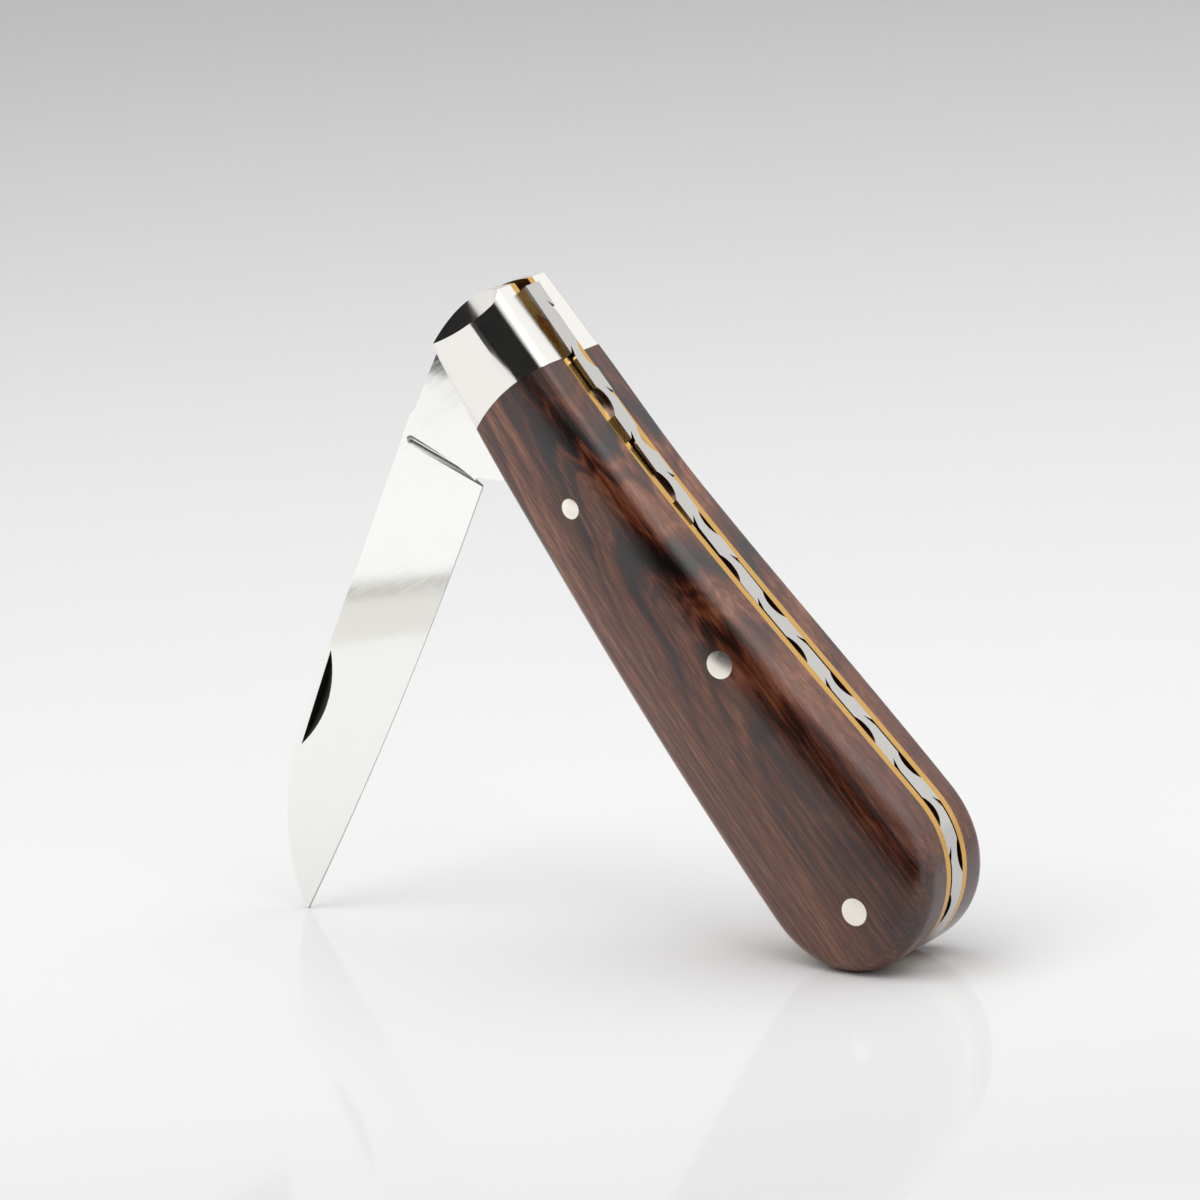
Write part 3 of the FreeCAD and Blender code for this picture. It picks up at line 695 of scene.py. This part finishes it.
# Paper cards about the knife, in metres, that only its metal and gloss can see: a black one in front with a
# slanting top, a black one off the left end, a pale one far behind, and others flat on the floor
cards = {
    "frontCard": ("#060505", [(-0.32, -0.29, 0.0), (0.35, -0.29, 0.0), (0.35, -0.29, 0.41),
                              (-0.32, -0.29, 0.004)]),
    "floorShade": ("#060505", [(-0.33, -0.2895, 0.0006), (0.1, -0.2895, 0.0006), (0.1, -0.105, 0.0006),
                               (-0.124, -0.202, 0.0006), (-0.124, -0.264, 0.0006), (-0.236, -0.288, 0.0006),
                               (-0.236, -0.249, 0.0006), (-0.33, -0.289, 0.0006)]),
    "endCard": ("#060505", [(-0.08, 0.045, 0.05), (-0.08, -0.0215, 0.05), (-0.08, -0.0215, 0.1003),
                            (-0.08, 0.045, 0.1003)]),
    "backCard": ("#F4F4F4", [(-1.0, 0.40, 0.0), (0.35, 1.10, 0.0), (0.35, 1.10, 0.26), (-1.0, 0.40, 0.26)]),
    "nearCard": ("#E8E8E8", [(-0.26, -0.017, 0.0003), (0.0, -0.127, 0.0003), (0.0, 0.0, 0.0003),
                             (-0.26, 0.0, 0.0003)]),
    "whiteCard": ("#EFEFEF", [(-0.26, -0.288, 0.0002), (0.0, -0.288, 0.0002), (0.0, 0.0, 0.0002),
                              (-0.26, 0.0, 0.0002)]),
    "greyStrip": ("#B8B6B2", [(-0.116, -0.105, 0.0005), (-0.050, -0.133, 0.0005), (-0.047, -0.126, 0.0005),
                              (-0.113, -0.098, 0.0005)]),
    "paleStrip": ("#D8D6D2", [(-0.113, -0.098, 0.0004), (-0.047, -0.126, 0.0004), (-0.040, -0.110, 0.0004),
                              (-0.106, -0.082, 0.0004)]),
}
paper = {
    "roughness": 0.9, "lying": 0.001,
    "topSlope": 0.606, "thinning": {"From Min": 0.170, "From Max": 0.196},
}
for cardName, (colour, corners) in cards.items():
    material, tree, shader = newMaterial(cardName + " paper")
    shader.inputs["Base Color"].default_value = linearColour(colour)
    shader.inputs["Roughness"].default_value = paper["roughness"]
    clear = None
    if max(corner[2] for corner in corners) < paper["lying"]:
        # one that lies on the floor hides nothing from it
        clear = addNode(tree, "ShaderNodeNewGeometry").outputs["Backfacing"]
    elif cardName == "frontCard":
        # it thins out near its slanting top, so that its shade ends softly
        place = addNode(tree, "ShaderNodeTexCoord")
        split = addNode(tree, "ShaderNodeSeparateXYZ", None, place.outputs["Object"])
        lift = addNode(tree, "ShaderNodeMath", {"operation": "MULTIPLY_ADD"},
                       split.outputs["X"], -paper["topSlope"], split.outputs["Z"])
        clear = addNode(tree, "ShaderNodeMapRange", paper["thinning"], Value=lift)
    if clear is not None:
        glass = addNode(tree, "ShaderNodeBsdfTransparent")
        mixed = addNode(tree, "ShaderNodeMixShader", None, clear, shader, glass)
        tree.links.new(mixed.outputs["Shader"], tree.nodes["Material Output"].inputs["Surface"])
    card = flatCard(cardName, corners, material)
    card.visible_camera = card.visible_diffuse = card.visible_shadow = False

lamps = {
    "overhead": {"at": (0.0, 0.05, 0.95), "aim": (0.0, 0.0, 0.0), "size": (1.6, 1.4), "watts": 9.0},
    "rightSoftbox": {"at": (0.75, -0.12, 0.62), "aim": (0.0, 0.0, 0.04), "size": (1.0, 1.0), "watts": 3.3},
    "backSoftbox": {"at": (0.42, 0.95, 0.55), "aim": (0.0, 0.0, 0.04), "size": (0.9, 0.8), "watts": 0.35},
    "leftSoftbox": {"at": (-0.35, -0.45, 0.70), "aim": (-0.12, -0.16, 0.0), "size": (0.9, 0.9), "watts": 2.8},
}
for lampName, lamp in lamps.items():
    light = bpy.data.lights.new(lampName, "AREA")
    light.shape = "RECTANGLE"
    light.size, light.size_y = lamp["size"]
    light.energy = lamp["watts"]
    holder = bpy.data.objects.new(lampName, light)
    bpy.context.scene.collection.objects.link(holder)
    holder.location = lamp["at"]
    holder.rotation_euler = (Vector(lamp["aim"]) - Vector(lamp["at"])).to_track_quat("-Z", "Y").to_euler()

# the room: pale where the camera and the metal look, dimmer as light
room = {"To Min": 0.2, "To Max": 0.9}
world = bpy.data.worlds.new("studio")
bpy.context.scene.world = world
world.use_nodes = True
tree = world.node_tree
path = addNode(tree, "ShaderNodeLightPath")
mirrored = addNode(tree, "ShaderNodeMath", {"operation": "MAXIMUM"}, path.outputs["Is Glossy Ray"],
                   path.outputs["Is Transmission Ray"])
seen = addNode(tree, "ShaderNodeMath", {"operation": "MAXIMUM"}, path.outputs["Is Camera Ray"], mirrored)
level = addNode(tree, "ShaderNodeMapRange", room, Value=seen)
tree.links.new(level.outputs["Result"], tree.nodes["Background"].inputs["Strength"])
tree.nodes["Background"].inputs["Color"].default_value = (1.0, 1.0, 1.0, 1.0)

# camera as solved from the photograph: place in mm, then bearing, height angle and roll in degrees
view = {
    "at": (407.747, -663.299, 220.419), "bearing": 31.551, "down": 13.047, "roll": -4.328,
    "focal": 7032.8, "centre": (599.34, 597.58), "frame": 1200.0,   # pixels
    "sensor": 36.0, "clip": (0.01, 20.0),                           # mm; metres
}


def addCamera():
    a, e, r = (math.radians(view[k]) for k in ("bearing", "down", "roll"))
    ahead = np.array([-math.sin(a) * math.cos(e), math.cos(a) * math.cos(e), -math.sin(e)])
    right = np.array([math.cos(a), math.sin(a), 0.0])
    up = np.cross(right, ahead)
    right, up = math.cos(r) * right + math.sin(r) * up, -math.sin(r) * right + math.cos(r) * up
    # turned a little, so that the middle of the picture is the middle of the lens
    offRight, offDown = ((view["frame"] / 2 - c) / view["focal"] for c in view["centre"])
    ahead = ahead + offRight * right - offDown * up
    ahead = ahead / np.linalg.norm(ahead)
    right = np.cross(ahead, np.cross(right, ahead))
    right = right / np.linalg.norm(right)
    up = np.cross(right, ahead)
    lens = bpy.data.cameras.new("camera")
    lens.sensor_width = view["sensor"]
    lens.lens = view["focal"] / view["frame"] * lens.sensor_width
    lens.clip_start, lens.clip_end = view["clip"]
    camera = bpy.data.objects.new("camera", lens)
    bpy.context.scene.collection.objects.link(camera)
    place = Matrix.Identity(4)
    for column, axis in enumerate((right, up, -ahead)):
        for row in range(3):
            place[row][column] = axis[row]
    place.translation = Vector(view["at"]) * 0.001
    camera.matrix_world = place
    bpy.context.scene.camera = camera


addCamera()
bpy.context.scene.view_settings.view_transform = "Standard"
print("stage set")
